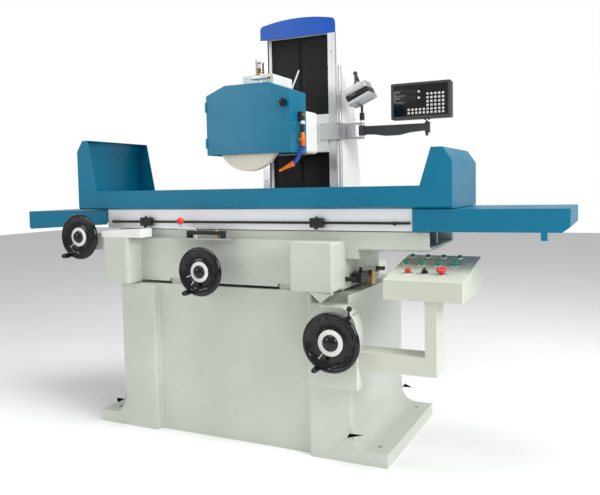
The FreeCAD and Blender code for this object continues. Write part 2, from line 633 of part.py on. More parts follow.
def scale_bracket():
    """Plate on the carriage that reaches across the right way to the scale's reading head."""
    plate = box((144, 251), (424, 431.5), (1456, 1550))
    plate = plate.fuse(box((144, 180), (430, 432), (1456, 1550)))
    leg = box((COLUMN_HALF + 18, COLUMN_HALF + 26), (424, 512), (1456, 1550))
    foot = box((245, COLUMN_HALF + 26), (424, 431.5), (1456, 1550))
    screws = [screw_head(x, 424, z, 5) for x in (153, 242) for z in (1465, 1541)]
    return joined(plate, foot, leg, *screws)


def spindle():
    """Spindle with its two wheel flanges and the clamping nut."""
    z = SPINDLE_Z
    pieces = [rod("y", (0, -60, z), 40, 175), rod("y", (0, 110, z), 30, 60),
              rod("y", (0, 160, z), 20, 248), rod("y", (0, 180, z), 33, 180),
              rod("y", (0, WHEEL_Y[1], z), 85, 16), rod("y", (0, -140, z), WHEEL_BORE_R - FIT, 44),
              rod("y", (0, WHEEL_Y[0] - 8, z), 85, 8), rod("y", (0, -96, z), 52, 40)]
    return joined(*pieces)


def grinding_wheel():
    return tube("y", (0, WHEEL_Y[0], SPINDLE_Z), WHEEL_R, WHEEL_BORE_R, WHEEL_Y[1] - WHEEL_Y[0])


# ---- handwheels -------------------------------------------------------------------------------
GRIP_LEAN = math.radians(245)


def handwheel(centre, radius, shaft_length, shaft_radius=SHAFT_R, hub_radius=34.0):
    """Dished wheel on its shaft: rim, dish, hub with a domed cap, and the grip's pin."""
    hub = hub_radius
    profile = [(0, -14), (hub * 0.6, -14), (hub * 0.6, -4), (radius - 20, 2), (radius - 20, -8),
               (radius - 6, -10), (radius, -2), (radius, 8), (radius - 6, 15), (radius - 19, 14),
               (radius - 24, 9), (hub * 1.6, 5), (hub * 1.55, 9), (hub, 10), (hub * 0.86, 19),
               (hub * 0.5, 26), (0, 28)]
    wheel = spun(profile, centre)
    x, y, z = centre
    shaft = rod("y", (x, y, z), shaft_radius, shaft_length)
    reach = radius - 13
    pin = rod("y", (x + reach * math.cos(GRIP_LEAN), y - 80, z + reach * math.sin(GRIP_LEAN)), 5, 78)
    return joined(wheel, shaft, pin)


def grip(centre, radius):
    """Crank grip that turns on the handwheel's pin."""
    reach = radius - 13
    x = centre[0] + reach * math.cos(GRIP_LEAN)
    z = centre[2] + reach * math.sin(GRIP_LEAN)
    profile = [(5 + FIT, 17), (9, 17), (13, 30), (14, 55), (12, 74), (8, 80), (5 + FIT, 80)]
    return spun(profile, (x, centre[1], z))


def handwheel_vertical():
    """Handwheel with its graduated dial, for raising and lowering the wheel head."""
    x, y, z = VERTICAL_WHEEL
    wheel = handwheel(VERTICAL_WHEEL, BIG_WHEEL_R, 150, SHAFT_R, 35)
    dial = rod("y", (x, y + 13, z), 62, 30)
    return joined(wheel, dial)


def handwheel_cross():
    """Handwheel for the saddle with its dial, and the cross-feed screw pinned to its shaft."""
    x, y, z = CROSS_WHEEL
    stub = 130
    wheel = handwheel(CROSS_WHEEL, SMALL_WHEEL_R, stub, SHAFT_R, 30)
    wheel = joined(wheel, rod("y", (x, y + 13, z), 42, 30))
    return group(wheel, rod("y", (x, y + stub, z), SHAFT_R, 576 - stub))


def handwheel_table():
    return handwheel(TABLE_WHEEL, SMALL_WHEEL_R, 96, SHAFT_R, 30)


def feed_gearbox():
    """Round-topped gearbox on the right pedestal, behind the vertical-feed handwheel."""
    cx, cz = GEARBOX
    front = -452.0
    depth = BED_FRONT - front
    body = box((cx - GEARBOX_R, cx + GEARBOX_R), (front, BED_FRONT), (345, cz))
    body = body.fuse(rod("y", (cx, front, cz), GEARBOX_R, depth))
    body = body.cut(box((400, 800), (front - 1, BED_FRONT + 1), (694, 800)))
    body = body.cut(box((cx - 92, cx + 92), (front + 14, BED_FRONT + 1), (365, cz + 70)))
    x, y, z = VERTICAL_WHEEL
    body = body.cut(rod("y", (x, front - 1, z), SHAFT_R + FIT, 100))
    plug = rod("y", (577, front - 5, 376), 7, 5)
    return joined(body, plug)


def feed_lever():
    """Ball-ended lever that engages the fine feed."""
    hub = rod("y", (648, -470, 652), 9, 17.7)
    stem = bar((648, -463, 652), (654, -468, 690), 4)
    return joined(hub, stem, ball((654, -468, 692), 12))


# ---- controls ---------------------------------------------------------------------------------
def desk_z(y):
    """Height of the control desk's sloping top at a y value."""
    slope = (DESK_REAR_TOP - DESK_FRONT_TOP) / (DESK_Y[1] - DESK_Y[0])
    return DESK_FRONT_TOP + slope * (y - DESK_Y[0])


def desk_tilt(shape, x, y):
    """Stand a shape, built on the origin along +Z, on the desk's sloping top."""
    slope = math.degrees(math.atan2(DESK_REAR_TOP - DESK_FRONT_TOP, DESK_Y[1] - DESK_Y[0]))
    shape.rotate(V(0, 0, 0), V(1, 0, 0), slope)
    shape.translate(V(x, y, desk_z(y)))
    return shape


def button_places():
    """Every control on the desk, as (x, y): four lamps, four buttons, and the front three."""
    rows = [(BUTTON_X, LAMP_ROW_Y, 4), (BUTTON_X, GREEN_ROW_Y, 4), (BUTTON_X + 46, FRONT_ROW_Y, 3)]
    return [[(x + i * BUTTON_PITCH, y) for i in range(count)] for x, y, count in rows]


def control_box():
    """Sloping desk of sheet steel, with the collars that the controls stand in."""
    side = [(DESK_Y[0], DESK_BOTTOM), (DESK_Y[0], DESK_FRONT_TOP), (DESK_Y[1], DESK_REAR_TOP),
            (DESK_Y[1], DESK_BOTTOM)]
    case = plate_yz(side, DESK_X)
    case = round_edges(case, 4.0, upright)
    inner = [(DESK_Y[0] + 3, DESK_BOTTOM + 3), (DESK_Y[0] + 3, DESK_FRONT_TOP - 3),
             (DESK_Y[1] - 3, DESK_REAR_TOP - 3), (DESK_Y[1] - 3, DESK_BOTTOM + 3)]
    case = case.cut(plate_yz(inner, (DESK_X[0] + 3, DESK_X[1] - 3)))
    lamps, greens, front = button_places()
    for x, y in lamps + greens + front:
        hole = Part.makeCylinder(STEM_R + GAP, 30, V(0, 0, -20))
        case = case.cut(desk_tilt(hole, x, y))
    for x, y in greens + front:
        collar = Part.makeCylinder(15, 5, V(0, 0, -1))
        collar = collar.cut(Part.makeCylinder(STEM_R + GAP, 8, V(0, 0, -2)))
        case = case.fuse(desk_tilt(collar, x, y))
    return case.removeSplitter()


def pilot_lamps():
    lamps = []
    for x, y in button_places()[0]:
        lens = joined(Part.makeCylinder(15, 5, V(0, 0, 0)), Part.makeCylinder(12, 14, V(0, 0, 4)),
                      Part.makeCylinder(STEM_R, 22, V(0, 0, -20)))
        lamps.append(desk_tilt(lens, x, y))
    return group(*lamps)


def push_button(place):
    """Cap and stem of a push button, 6 mm above its collar."""
    cap = Part.makeCylinder(BUTTON_R, 10, V(0, 0, 10))
    stem = Part.makeCylinder(STEM_R, 30, V(0, 0, -18))
    return desk_tilt(joined(cap, stem), *place)


def selector_switch():
    knob = Part.makeCylinder(14, 9, V(0, 0, 4 + GAP))
    wing = box((-4, 4), (-16, 16), (12, 26))
    stem = Part.makeCylinder(STEM_R, 22, V(0, 0, -16))
    return desk_tilt(joined(knob, wing, stem), *button_places()[2][1])


def emergency_stop():
    """Mushroom-headed stop button."""
    head = Part.makeCone(22, 20, 10, V(0, 0, 14))
    dome = Part.makeSphere(60, V(0, 0, -30)).common(Part.makeCylinder(20, 20, V(0, 0, 23)))
    stem = Part.makeCylinder(STEM_R, 36, V(0, 0, -20))
    return desk_tilt(joined(head, dome, stem), *button_places()[2][2])


def control_arm():
    """L-shaped box-section arm from the bed's right wall to the desk."""
    beam = box((BED_HALF, 1008), ARM_Y, (430, 506))
    post = box((960, 1008), ARM_Y, (430, DESK_BOTTOM))
    arm = joined(beam, post)
    arm = round_edges(arm, 6.0, along_y)
    inside = joined(box((BED_HALF + 10, 1002), (ARM_Y[0] + 6, ARM_Y[1] - 6), (436, 500)),
                    box((966, 1002), (ARM_Y[0] + 6, ARM_Y[1] - 6), (436, DESK_BOTTOM - 6)))
    arm = arm.cut(inside).cut(box((600, GEARBOX[0] + GEARBOX_R), (-440, BED_FRONT), (400, 520)))
    flange = box((BED_HALF, BED_HALF + 12), (BED_FRONT, -250), (400, 540))
    return joined(arm, flange)


# ---- display, lamp ----------------------------------------------------------------------------
DRO_PIVOT = (345.0, 560.0)


def dro_arm():
    """Swinging arm that carries the digital display."""
    px, py = DRO_PIVOT
    outline = [(px - 16, 1486), (px - 16, 1530), (px + 200, 1530), (728, 1528), (728, 1492),
               (620, 1484), (560, 1472), (480, 1472), (420, 1482)]
    blade = plate_xz(outline, (py - 16, py + 14))
    sleeve = rod("z", (px, py, 1480), 20, 56)
    post = box((706, 730), (py - 14, py + 12), (1478, 1536))
    knob = rod("z", (714, py, 1462), 8, 18)
    neck = rod("z", (714, py, 1530), 5, 16)
    whole = joined(blade, sleeve, post, knob, neck)
    return whole.cut(rod("z", (px, py, 1470), 9 + FIT, 80))


def dro_display():
    """Digital display in its housing, tilting on the arm's neck."""
    py = DRO_PIVOT[1]
    case = box((526, 850), (py - 38, py + 24), (1552, 1746))
    case = round_edges(case, 8.0, along_y)
    case = case.cut(box((540, 836), (py - 39, py - 34), (1566, 1732)))
    fork = [box((x, x + 8), (py - 10, py + 10), (1546 + GAP, 1556)) for x in (700, 722)]
    return joined(case, *fork)


def dro_bracket():
    """Bracket on the column's side with the pivot posts for the display arm and the lamp."""
    px, py = DRO_PIVOT
    box_arm = box((COLUMN_HALF, px + 8), (py - 24, py + 20), (1542, 1552))
    lower = box((COLUMN_HALF, px + 8), (py - 24, py + 20), (1462, 1474))
    web = box((COLUMN_HALF, COLUMN_HALF + 60), (py - 24, py + 20), (1462, 1552))
    pin = rod("z", (px, py, 1462), 9, 136)
    return joined(box_arm, lower, web, pin)


LAMP_FOOT = (345.0, 560.0, 1602.0)


def lamp_arm():
    """Black swan arm of the work lamp, turning on the bracket's post."""
    x, y, z = LAMP_FOOT
    socket = rod("z", (x, y, z - 36), 14, 40)
    socket = socket.cut(rod("z", (x, y, z - 40), 9 + FIT, 38 + 2))
    pieces = [socket, bar((x, y, z), (x - 2, y + 6, 1740), 7),
              bar((x - 2, y + 6, 1740), (x - 26, y - 30, 1824), 7),
              bar((x - 26, y - 30, 1824), (x - 8, y - 74, 1760), 7),
              ball((x - 2, y + 6, 1740), 12), ball((x - 26, y - 30, 1824), 12),
              ball((x - 8, y - 74, 1756), 12)]
    return joined(*pieces)


def lamp_head():
    """Rectangular lamp, tilted over the work, on the end of its arm."""
    case = box((-68, 68), (-60, 60), (-108, -10))
    case = round_edges(case, 6.0, upright)
    glass = box((-60, 60), (-63, -60), (-80, -54))
    neck = box((-9, 9), (-9, 9), (-12, 2))
    head = joined(case, glass, neck)
    head = head.cut(ball((0, 0, 0), 12 + GAP))
    return head


def placed_lamp_head():
    x, y, z = LAMP_FOOT
    head = lamp_head()
    head.rotate(V(0, 0, 0), V(0, 1, 0), -24)
    head.translate(V(x - 8, y - 74, 1756))
    return head


def nodes():
    """Every sub-part, by name."""
    greens = button_places()[1]
    front = button_places()[2]
    parts = {
        "base_casting": base_casting(), "column_casting": column_casting(),
        "column_ways": column_ways(),
        "header_plate": header_plate(), "column_shield": column_shield(),
        "height_scale": height_scale(), "feed_gearbox": feed_gearbox(),
        "control_arm": control_arm(), "control_box": control_box(), "pilot_lamps": pilot_lamps(),
        "dro_bracket": dro_bracket(),
        "saddle_casting": saddle_casting(), "saddle_end_cover": saddle_end_cover(),
        "reversing_valve": reversing_valve(), "traverse_gearbox": traverse_gearbox(),
        "travel_stop_rail": travel_stop_rail(), "table_cylinder": table_cylinder(),
        "table_casting": table_casting(), "magnetic_chuck": magnetic_chuck(),
        "splash_panels": splash_panels(), "splash_hood_left": splash_hood_left(),
        "splash_hood_right": splash_hood_right(), "way_cover_left": way_cover_left(),
        "way_cover_right": way_cover_right(), "dog_rail": dog_rail(),
        "table_drive": table_drive(), "trip_dog_left": trip_dog(-492.0),
        "trip_dog_right": trip_dog(447.0), "reversing_lever": reversing_lever(),
        "head_carriage": head_carriage(), "head_casting": head_casting(),
        "spindle_motor": spindle_motor(), "wheel_guard": wheel_guard(),
        "guard_door": guard_door(), "guard_knob": guard_knob(), "sight_oiler": sight_oiler(),
        "coolant_hose": coolant_hose(), "coolant_nozzle": coolant_nozzle(),
        "scale_bracket": scale_bracket(), "spindle": spindle(),
        "grinding_wheel": grinding_wheel(), "handwheel_vertical": handwheel_vertical(),
        "grip_vertical": grip(VERTICAL_WHEEL, BIG_WHEEL_R), "handwheel_cross": handwheel_cross(),
        "grip_cross": grip(CROSS_WHEEL, SMALL_WHEEL_R), "handwheel_table": handwheel_table(),
        "grip_table": grip(TABLE_WHEEL, SMALL_WHEEL_R), "elevating_screw": elevating_screw(),
        "feed_lever": feed_lever(), "dro_arm": dro_arm(), "dro_display": dro_display(),
        "lamp_arm": lamp_arm(), "lamp_head": placed_lamp_head(),
        "selector_switch": selector_switch(), "emergency_stop": emergency_stop(),
        "stop_button": push_button(front[0]),
    }
    for number, place in enumerate(greens, start=1):
        parts["start_button_%d" % number] = push_button(place)
    return parts


os.makedirs("parts", exist_ok=True)
for name, shape in nodes().items():
    shape.exportStep("parts/%s.step" % name)
    print("%-20s solids %d  valid %s  %.2f litres" % (name, len(shape.Solids), shape.isValid(),
                                                      shape.Volume / 1e6))
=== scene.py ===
"""Looks of the surface grinder: finishes for the CAD nodes, and the detailed pieces that ride on them.

Lengths are in metres, +Z is up, +X runs along the table and -Y faces the operator.
"""
import json
import math

import bmesh
import bpy
from mathutils import Matrix, Vector


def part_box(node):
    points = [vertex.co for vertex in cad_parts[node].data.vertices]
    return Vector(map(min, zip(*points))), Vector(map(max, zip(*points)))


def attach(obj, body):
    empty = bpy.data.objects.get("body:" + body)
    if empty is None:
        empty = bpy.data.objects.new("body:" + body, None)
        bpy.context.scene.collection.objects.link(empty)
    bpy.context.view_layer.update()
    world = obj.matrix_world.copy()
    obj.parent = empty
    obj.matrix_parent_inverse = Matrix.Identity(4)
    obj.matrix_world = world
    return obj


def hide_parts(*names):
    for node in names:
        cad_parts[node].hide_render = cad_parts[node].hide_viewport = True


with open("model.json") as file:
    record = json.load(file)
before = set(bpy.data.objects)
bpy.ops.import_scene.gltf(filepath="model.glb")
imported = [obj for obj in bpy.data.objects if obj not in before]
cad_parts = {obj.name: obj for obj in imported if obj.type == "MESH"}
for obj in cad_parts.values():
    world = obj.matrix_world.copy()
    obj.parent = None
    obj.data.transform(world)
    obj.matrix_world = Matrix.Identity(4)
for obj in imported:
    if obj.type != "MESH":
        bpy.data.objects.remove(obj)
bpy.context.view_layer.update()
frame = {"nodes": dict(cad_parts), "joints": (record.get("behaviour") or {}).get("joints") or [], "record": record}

NODES = frame["nodes"]
RECORD = frame["record"]
JOINTS = {joint["name"]: joint for joint in frame["joints"]}
BODY_OF = {node: body for body, names in RECORD["behaviour"]["bodies"].items() for node in names}

TOWARDS_OPERATOR = (0, -1, 0)
MM = 0.001


# ---- shader helpers ---------------------------------------------------------------------------
def add(tree, kind, inputs=None, **settings):
    """A shader node whose inputs are constants or other nodes' outputs."""
    made = tree.nodes.new("ShaderNode" + kind)
    for key, value in settings.items():
        setattr(made, key, value)
    for key, value in (inputs or {}).items():
        if isinstance(value, bpy.types.NodeSocket):
            tree.links.new(value, made.inputs[key])
        else:
            made.inputs[key].default_value = value
    return made


def finish_of(name, constants):
    """A new material with its shader's constant sockets set."""
    material = bpy.data.materials.new(name)
    material.use_nodes = True
    tree = material.node_tree
    shader = tree.nodes["Principled BSDF"]
    for socket, value in constants.items():
        shader.inputs[socket].default_value = value
    place = add(tree, "TexCoord").outputs["Object"]
    return material, tree, shader, place


def noise(tree, place, scale, detail=3.0):
    return add(tree, "TexNoise", {"Vector": place, "Scale": scale, "Detail": detail}).outputs["Fac"]


def stretched(tree, place, scale):
    return add(tree, "Mapping", {"Vector": place, "Scale": scale}).outputs["Vector"]


def ranged(tree, value, start, end, low, high):
    return add(tree, "MapRange", {"Value": value, "From Min": start, "From Max": end,
                                  "To Min": low, "To Max": high}).outputs["Result"]


def mixed(tree, share, first, second):
    """Colour between two others: sockets 6 and 7 of a colour Mix node are A and B."""
    return add(tree, "Mix", {0: share, 6: first, 7: second}, data_type="RGBA").outputs[2]


def bumped(tree, shader, height, distance, strength=1.0):
    bump = add(tree, "Bump", {"Height": height, "Distance": distance, "Strength": strength})
    tree.links.new(bump.outputs["Normal"], shader.inputs["Normal"])


def shade(colour, factor):
    return tuple(min(1.0, part * factor) for part in colour[:3]) + (1.0,)


# ---- finishes ---------------------------------------------------------------------------------
def enamel(name, colour, rough=0.36, peel=0.25, coat=0.12, edge_wear_and_highlight=0.3):
    """Sprayed machine enamel: faint clouding, orange peel, handled patches, and edges made paler, partly as worn
    paint and partly as a painted highlight.
    """
    material, tree, shader, place = finish_of(name, {"Coat Weight": coat, "Coat Roughness": 0.14,
                                                     "Specular IOR Level": 0.32})
    clouds = ranged(tree, noise(tree, place, 2.4, 2.0), 0.35, 0.65, 0.0, 1.0)
    base = mixed(tree, clouds, shade(colour, 0.93), shade(colour, 1.04))
    patches = ranged(tree, noise(tree, place, 14.0, 7.0), 0.55, 0.78, 0.0, 0.35)
    base = mixed(tree, patches, base, shade(colour, 0.80))
    # Painted highlight and wear: convex edges are mixed towards a paler copy of the colour, standing for worn
    # paint and for bright edge highlights.
    corner = add(tree, "NewGeometry").outputs["Pointiness"]
    edge = ranged(tree, corner, 0.515, 0.60, 0.0, edge_wear_and_highlight)
    base = mixed(tree, edge, base, shade(colour, 1.35))
    tree.links.new(base, shader.inputs["Base Color"])
    handled = ranged(tree, noise(tree, place, 6.0, 5.0), 0.3, 0.7, rough - 0.06, rough + 0.09)
    tree.links.new(handled, shader.inputs["Roughness"])
    bumped(tree, shader, noise(tree, place, 330.0, 2.0), 0.0003, peel)
    return material


def worked_metal(name, colour, along, rough=0.3, grain=0.35, metallic=1.0, spread=0.10):
    """Ground or brushed metal whose marks run along one axis: 0 for X, 1 for Y, 2 for Z."""
    material, tree, shader, place = finish_of(name, {"Metallic": metallic, "Anisotropic": 0.35})
    scale = [620.0, 620.0, 620.0]
    scale[along] = 6.0
    marks = noise(tree, stretched(tree, place, scale), 1.0, 4.0)
    stains = noise(tree, place, 9.0, 5.0)
    base = mixed(tree, marks, shade(colour, 1 - spread), shade(colour, 1 + spread))
    base = mixed(tree, ranged(tree, stains, 0.5, 0.8, 0.0, 0.4), base, shade(colour, 0.82))
    tree.links.new(base, shader.inputs["Base Color"])
    tree.links.new(ranged(tree, stains, 0.3, 0.7, rough - 0.07, rough + 0.1),
                   shader.inputs["Roughness"])
    bumped(tree, shader, marks, 0.0002, grain)
    return material


def moulded(name, colour, rough=0.35, grain=700.0, depth=0.2, coat=0.0):
    """Moulded plastic or blackened metal with a fine grain and slight dust."""
    material, tree, shader, place = finish_of(name, {"Coat Weight": coat, "Coat Roughness": 0.06,
                                                     "Specular IOR Level": 0.25})
    dust = ranged(tree, noise(tree, place, 40.0, 6.0), 0.5, 0.8, 0.0, 0.5)
    tree.links.new(mixed(tree, dust, shade(colour, 1.0), shade(colour, 1.3)),
                   shader.inputs["Base Color"])
    tree.links.new(ranged(tree, noise(tree, place, 25.0, 4.0), 0.3, 0.7, rough - 0.05, rough + 0.07),
                   shader.inputs["Roughness"])
    bumped(tree, shader, noise(tree, place, grain, 2.0), 0.0002, depth)
    return material


def roll_blind(name):
    """Black blind cloth: fine cross ribs, and the soft sheen of oiled rubber."""
    material, tree, shader, place = finish_of(name, {"Sheen Weight": 0.15, "Sheen Roughness": 0.4,
                                                     "Specular IOR Level": 0.25})
    ribs = add(tree, "TexWave", {"Vector": place, "Scale": 26.0, "Distortion": 0.4,
                                 "Detail": 2.0}, bands_direction="Z").outputs["Fac"]
    smears = noise(tree, stretched(tree, place, (5.0, 5.0, 1.2)), 3.0, 5.0)
    black = (0.006, 0.006, 0.007, 1.0)
    tree.links.new(mixed(tree, ranged(tree, smears, 0.45, 0.75, 0.0, 0.8), black,
                         (0.016, 0.012, 0.010, 1.0)), shader.inputs["Base Color"])
    tree.links.new(ranged(tree, smears, 0.3, 0.7, 0.42, 0.62), shader.inputs["Roughness"])
    bumped(tree, shader, ribs, 0.0006, 0.5)
    return material


def bonded_abrasive(name):
    """White alumina grit in its bond, with darker grains and open pores."""
    material, tree, shader, place = finish_of(name, {"Roughness": 0.92, "Specular IOR Level": 0.2})
    grit = add(tree, "TexVoronoi", {"Vector": place, "Scale": 700.0}).outputs["Distance"]
    tint = noise(tree, place, 900.0, 2.0)
    base = mixed(tree, ranged(tree, tint, 0.35, 0.65, 0.0, 1.0), (0.64, 0.60, 0.49, 1.0),
                 (0.86, 0.84, 0.75, 1.0))
    clouds = ranged(tree, noise(tree, place, 18.0, 4.0), 0.45, 0.7, 0.0, 0.25)
    tree.links.new(mixed(tree, clouds, base, (0.60, 0.57, 0.47, 1.0)), shader.inputs["Base Color"])
    bumped(tree, shader, grit, 0.0008, 0.8)
    return material


def chuck_face(name):
    """Ground chuck with brass-coloured pole gaps every 20 mm across its length."""
    material, tree, shader, place = finish_of(name, {"Metallic": 1.0})
    poles = add(tree, "TexWave", {"Vector": place, "Scale": 15.7, "Distortion": 0.0},
                bands_direction="X").outputs["Fac"]
    gap = ranged(tree, poles, 0.90, 0.95, 0.0, 1.0)
    marks = noise(tree, stretched(tree, place, (4.0, 700.0, 700.0)), 1.0, 4.0)
    steel = mixed(tree, marks, (0.46, 0.47, 0.48, 1.0), (0.62, 0.63, 0.64, 1.0))
    tree.links.new(mixed(tree, gap, steel, (0.56, 0.42, 0.20, 1.0)), shader.inputs["Base Color"])
    tree.links.new(ranged(tree, marks, 0.3, 0.7, 0.22, 0.38), shader.inputs["Roughness"])
    bumped(tree, shader, marks, 0.0002, 0.3)
    return material


def clear(name, colour, rough=0.03, weight=1.0):
    """Glass or a translucent lens, lightly smeared."""
    material, tree, shader, place = finish_of(name, {"Base Color": colour, "IOR": 1.46,
                                                     "Transmission Weight": weight})
    tree.links.new(ranged(tree, noise(tree, place, 60.0, 4.0), 0.4, 0.7, rough, rough + 0.08),
                   shader.inputs["Roughness"])
    return material


FINISH = {
    "bed": enamel("bed_enamel", (0.54, 0.575, 0.515, 1)),
    "column": enamel("column_enamel", (0.76, 0.78, 0.75, 1)),
    "desk": enamel("desk_enamel", (0.55, 0.58, 0.495, 1), rough=0.4, peel=0.5),
    "blue": enamel("guard_enamel", (0.0, 0.155, 0.27, 1), rough=0.32, peel=0.15, edge_wear_and_highlight=0.12),
    "header": enamel("header_enamel", (0.0, 0.065, 0.36, 1), rough=0.28, peel=0.08, edge_wear_and_highlight=0.1),
    "table": worked_metal("table_ground", (0.86, 0.88, 0.89, 1), 0, rough=0.38, metallic=0.5,
                          spread=0.05),
    "ways": worked_metal("way_ground", (0.66, 0.68, 0.69, 1), 2, rough=0.3, spread=0.12),
    "carriage": worked_metal("carriage_scraped", (0.70, 0.71, 0.70, 1), 2, rough=0.42, metallic=0.6),
    "steel": worked_metal("turned_steel", (0.58, 0.58, 0.59, 1), 2, rough=0.28),
    "alloy": worked_metal("drawn_alloy", (0.72, 0.73, 0.74, 1), 2, rough=0.35, spread=0.06),
    "chrome": worked_metal("bright_plating", (0.82, 0.83, 0.84, 1), 2, rough=0.12, grain=0.05,
                           spread=0.03),
    "brass": worked_metal("brass", (0.62, 0.45, 0.16, 1), 2, rough=0.3),
    "black_steel": moulded("blackened_steel", (0.022, 0.022, 0.023, 1), rough=0.38, depth=0.35),
    "dark_arm": moulded("arm_enamel", (0.045, 0.047, 0.05, 1), rough=0.33, depth=0.2, coat=0.2),
    "black_gloss": moulded("wheel_gloss", (0.004, 0.004, 0.0045, 1), rough=0.13, depth=0.05,
                           coat=0.35),
    "white_fill": moulded("white_filling", (0.72, 0.72, 0.70, 1), rough=0.45),
    "case": moulded("display_case", (0.050, 0.051, 0.053, 1), rough=0.42, depth=0.6),
    "panel": moulded("display_panel", (0.004, 0.004, 0.005, 1), rough=0.16, depth=0.03, coat=0.5),
    "key": moulded("display_keys", (0.60, 0.60, 0.56, 1), rough=0.4),
    "green": moulded("button_green", (0.03, 0.30, 0.17, 1), rough=0.25, depth=0.05, coat=0.6),
    "red": moulded("button_red", (0.68, 0.018, 0.012, 1), rough=0.25, depth=0.05, coat=0.6),
    "blue_plastic": moulded("hose_blue", (0.012, 0.045, 0.32, 1), rough=0.3, depth=0.1, coat=0.3),
    "orange": moulded("hose_orange", (0.80, 0.17, 0.015, 1), rough=0.3, depth=0.1, coat=0.3),
    "blind": roll_blind("roll_blind"),
    "grit": bonded_abrasive("white_alumina"),
    "chuck": chuck_face("chuck_face"),
    "glass": clear("sight_glass", (0.93, 0.95, 0.94, 1)),
    "lens": clear("green_lens", (0.06, 0.48, 0.28, 1), rough=0.1, weight=0.35),
    "window": clear("dark_window", (0.02, 0.022, 0.022, 1), rough=0.05, weight=0.1),
    "oil": clear("machine_oil", (0.50, 0.27, 0.05, 1), rough=0.05, weight=0.8),
}

NODE_FINISH = {
    "bed": ["base_casting", "saddle_casting", "traverse_gearbox", "feed_gearbox"],
    "column": ["column_casting", "saddle_end_cover", "head_casting"],
    "desk": ["control_arm", "control_box"],
    "blue": ["splash_panels", "splash_hood_left", "splash_hood_right", "way_cover_left",
             "way_cover_right", "wheel_guard", "guard_door"],
    "header": ["header_plate"],
    "table": ["table_casting"],
    "ways": ["column_ways"],
    "carriage": ["head_carriage"],
    "steel": ["spindle_motor", "spindle", "elevating_screw", "table_drive", "table_cylinder",
              "reversing_valve", "scale_bracket"],
    "alloy": ["height_scale", "dro_bracket"],
    "black_steel": ["travel_stop_rail", "dog_rail", "trip_dog_left", "trip_dog_right", "lamp_arm",
                    "feed_lever"],
    "dark_arm": ["dro_arm"],
    "black_gloss": ["guard_knob"],
    "chrome": ["reversing_lever"],
    "case": ["dro_display"],
    "blind": ["column_shield"],
    "grit": ["grinding_wheel"],
    "chuck": ["magnetic_chuck"],
}
EDGE_WIDTH = {"base_casting": 2.5, "saddle_casting": 2.5, "column_casting": 5.0,
              "head_casting": 2.5, "dro_display": 2.0, "wheel_guard": 1.4, "guard_door": 1.2,
              "table_casting": 1.5, "magnetic_chuck": 1.2, "control_arm": 1.5}
PLAIN_EDGE = 0.8
SMOOTH_BELOW = math.radians(40)


def sharp_edge_group():
    """Node group that keeps every edge sharp where its faces meet at more than SMOOTH_BELOW."""
    group = bpy.data.node_groups.new("sharp_edges", "GeometryNodeTree")
    group.interface.new_socket("Geometry", in_out="INPUT", socket_type="NodeSocketGeometry")
    group.interface.new_socket("Geometry", in_out="OUTPUT", socket_type="NodeSocketGeometry")
    start = group.nodes.new("NodeGroupInput")
    end = group.nodes.new("NodeGroupOutput")
    angle = group.nodes.new("GeometryNodeInputMeshEdgeAngle")
    over = group.nodes.new("FunctionNodeCompare")
    over.inputs[1].default_value = SMOOTH_BELOW
    faces = group.nodes.new("GeometryNodeSetShadeSmooth")
    faces.domain = "FACE"
    edges = group.nodes.new("GeometryNodeSetShadeSmooth")
    edges.domain = "EDGE"
    edges.inputs["Shade Smooth"].default_value = False
    group.links.new(angle.outputs["Unsigned Angle"], over.inputs[0])
    group.links.new(start.outputs[0], faces.inputs["Geometry"])
    group.links.new(faces.outputs[0], edges.inputs["Geometry"])
    group.links.new(over.outputs["Result"], edges.inputs["Selection"])
    group.links.new(edges.outputs[0], end.inputs[0])
    return group


def painted(node, key, rule):
    """Give the faces of a CAD node whose centre passes the rule another finish."""
    mesh = NODES[node].data
    mesh.materials.append(FINISH[key])
    index = len(mesh.materials) - 1
    for face in mesh.polygons:
        if rule(face.center):
            face.material_index = index


CHANNEL_HALF = 0.1879       # half the width between the column's ways
CHANNEL_DEPTH = (0.500, 0.53)
CHANNEL_HEIGHT = (0.80, 2.06)
VALVE_PLATE_TOP = 0.967
VALVE_POST = (-0.047, -0.362)
VALVE_POST_REACH = 0.010
LEVER_BALL_BOTTOM = 1.0285
STOP_SWITCH_Y = (-0.097, -0.051)
STOP_SWITCH_TOP = 0.783


def in_channel(centre):
    return (abs(centre.x) < CHANNEL_HALF and CHANNEL_DEPTH[0] < centre.y < CHANNEL_DEPTH[1]
            and CHANNEL_HEIGHT[0] < centre.z < CHANNEL_HEIGHT[1])


def on_valve_post(centre):
    return (centre.z > VALVE_PLATE_TOP and abs(centre.x - VALVE_POST[0]) < VALVE_POST_REACH
            and abs(centre.y - VALVE_POST[1]) < VALVE_POST_REACH)


def on_valve_body(centre):
    return centre.z > VALVE_PLATE_TOP and not on_valve_post(centre)


def on_lever_ball(centre):
    return centre.z > LEVER_BALL_BOTTOM


def on_stop_switch(centre):
    return STOP_SWITCH_Y[0] < centre.y < STOP_SWITCH_Y[1] and centre.z < STOP_SWITCH_TOP


def paint_details():
    """Finishes of single faces: the channel floor behind the blind painted black as painted shade, blackened
    valve, brass post and switch, red ball.
    """
    # Painted shade: the column's channel floor takes the black blind cloth, so the slot between the blind's sheets
    # reads dark.
    painted("column_casting", "blind", in_channel)
    painted("reversing_valve", "black_steel", on_valve_body)
    painted("reversing_valve", "brass", on_valve_post)
    painted("reversing_lever", "red", on_lever_ball)
    painted("travel_stop_rail", "brass", on_stop_switch)


